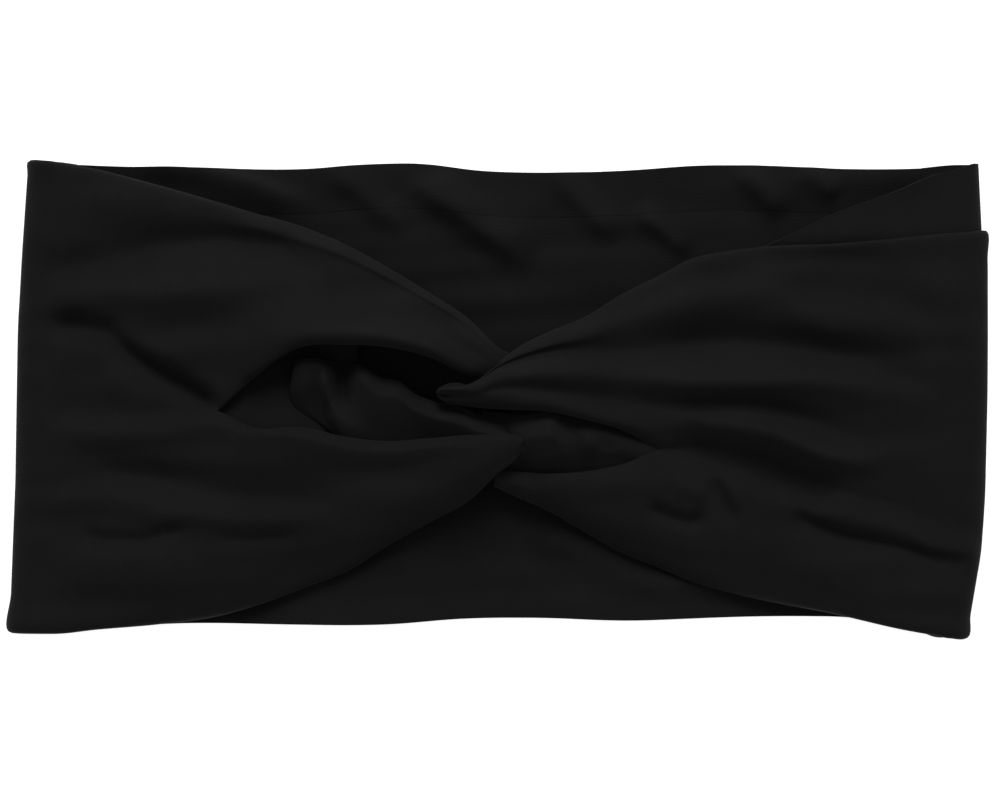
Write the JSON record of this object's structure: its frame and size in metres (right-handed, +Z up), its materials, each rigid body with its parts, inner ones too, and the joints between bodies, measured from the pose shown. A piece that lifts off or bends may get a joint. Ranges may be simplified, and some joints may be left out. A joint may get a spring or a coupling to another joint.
{
  "type": "knotted headband",
  "caption": "Wide jersey hair band lying flat: a hemmed back panel and two doubled front wings looped round each other in a soft centre knot.",
  "frame": {"origin": "under the middle of the band, on the face that it rests on", "axes": "+X from the left side fold to the right one, +Y from the bottom hem to the top hem, +Z up from the table to the knot"},
  "size_m": [0.2403, 0.1173, 0.019],
  "materials": {
    "jersey": "matte black cotton and elastane jersey",
    "thread": "black overlock thread"
  },
  "bodies": {
    "root": {"back_panel": "jersey", "back_top_hem": "jersey", "back_bottom_hem": "jersey", "left_outer_ply": "jersey", "left_inner_ply": "jersey", "right_outer_ply": "jersey", "right_inner_ply": "jersey", "left_loop_bend": "jersey", "right_loop_bend": "jersey", "left_closing_seam": "jersey", "right_closing_seam": "jersey", "left_seam_thread": "thread", "right_seam_thread": "thread"}
  },
  "joints": []
}
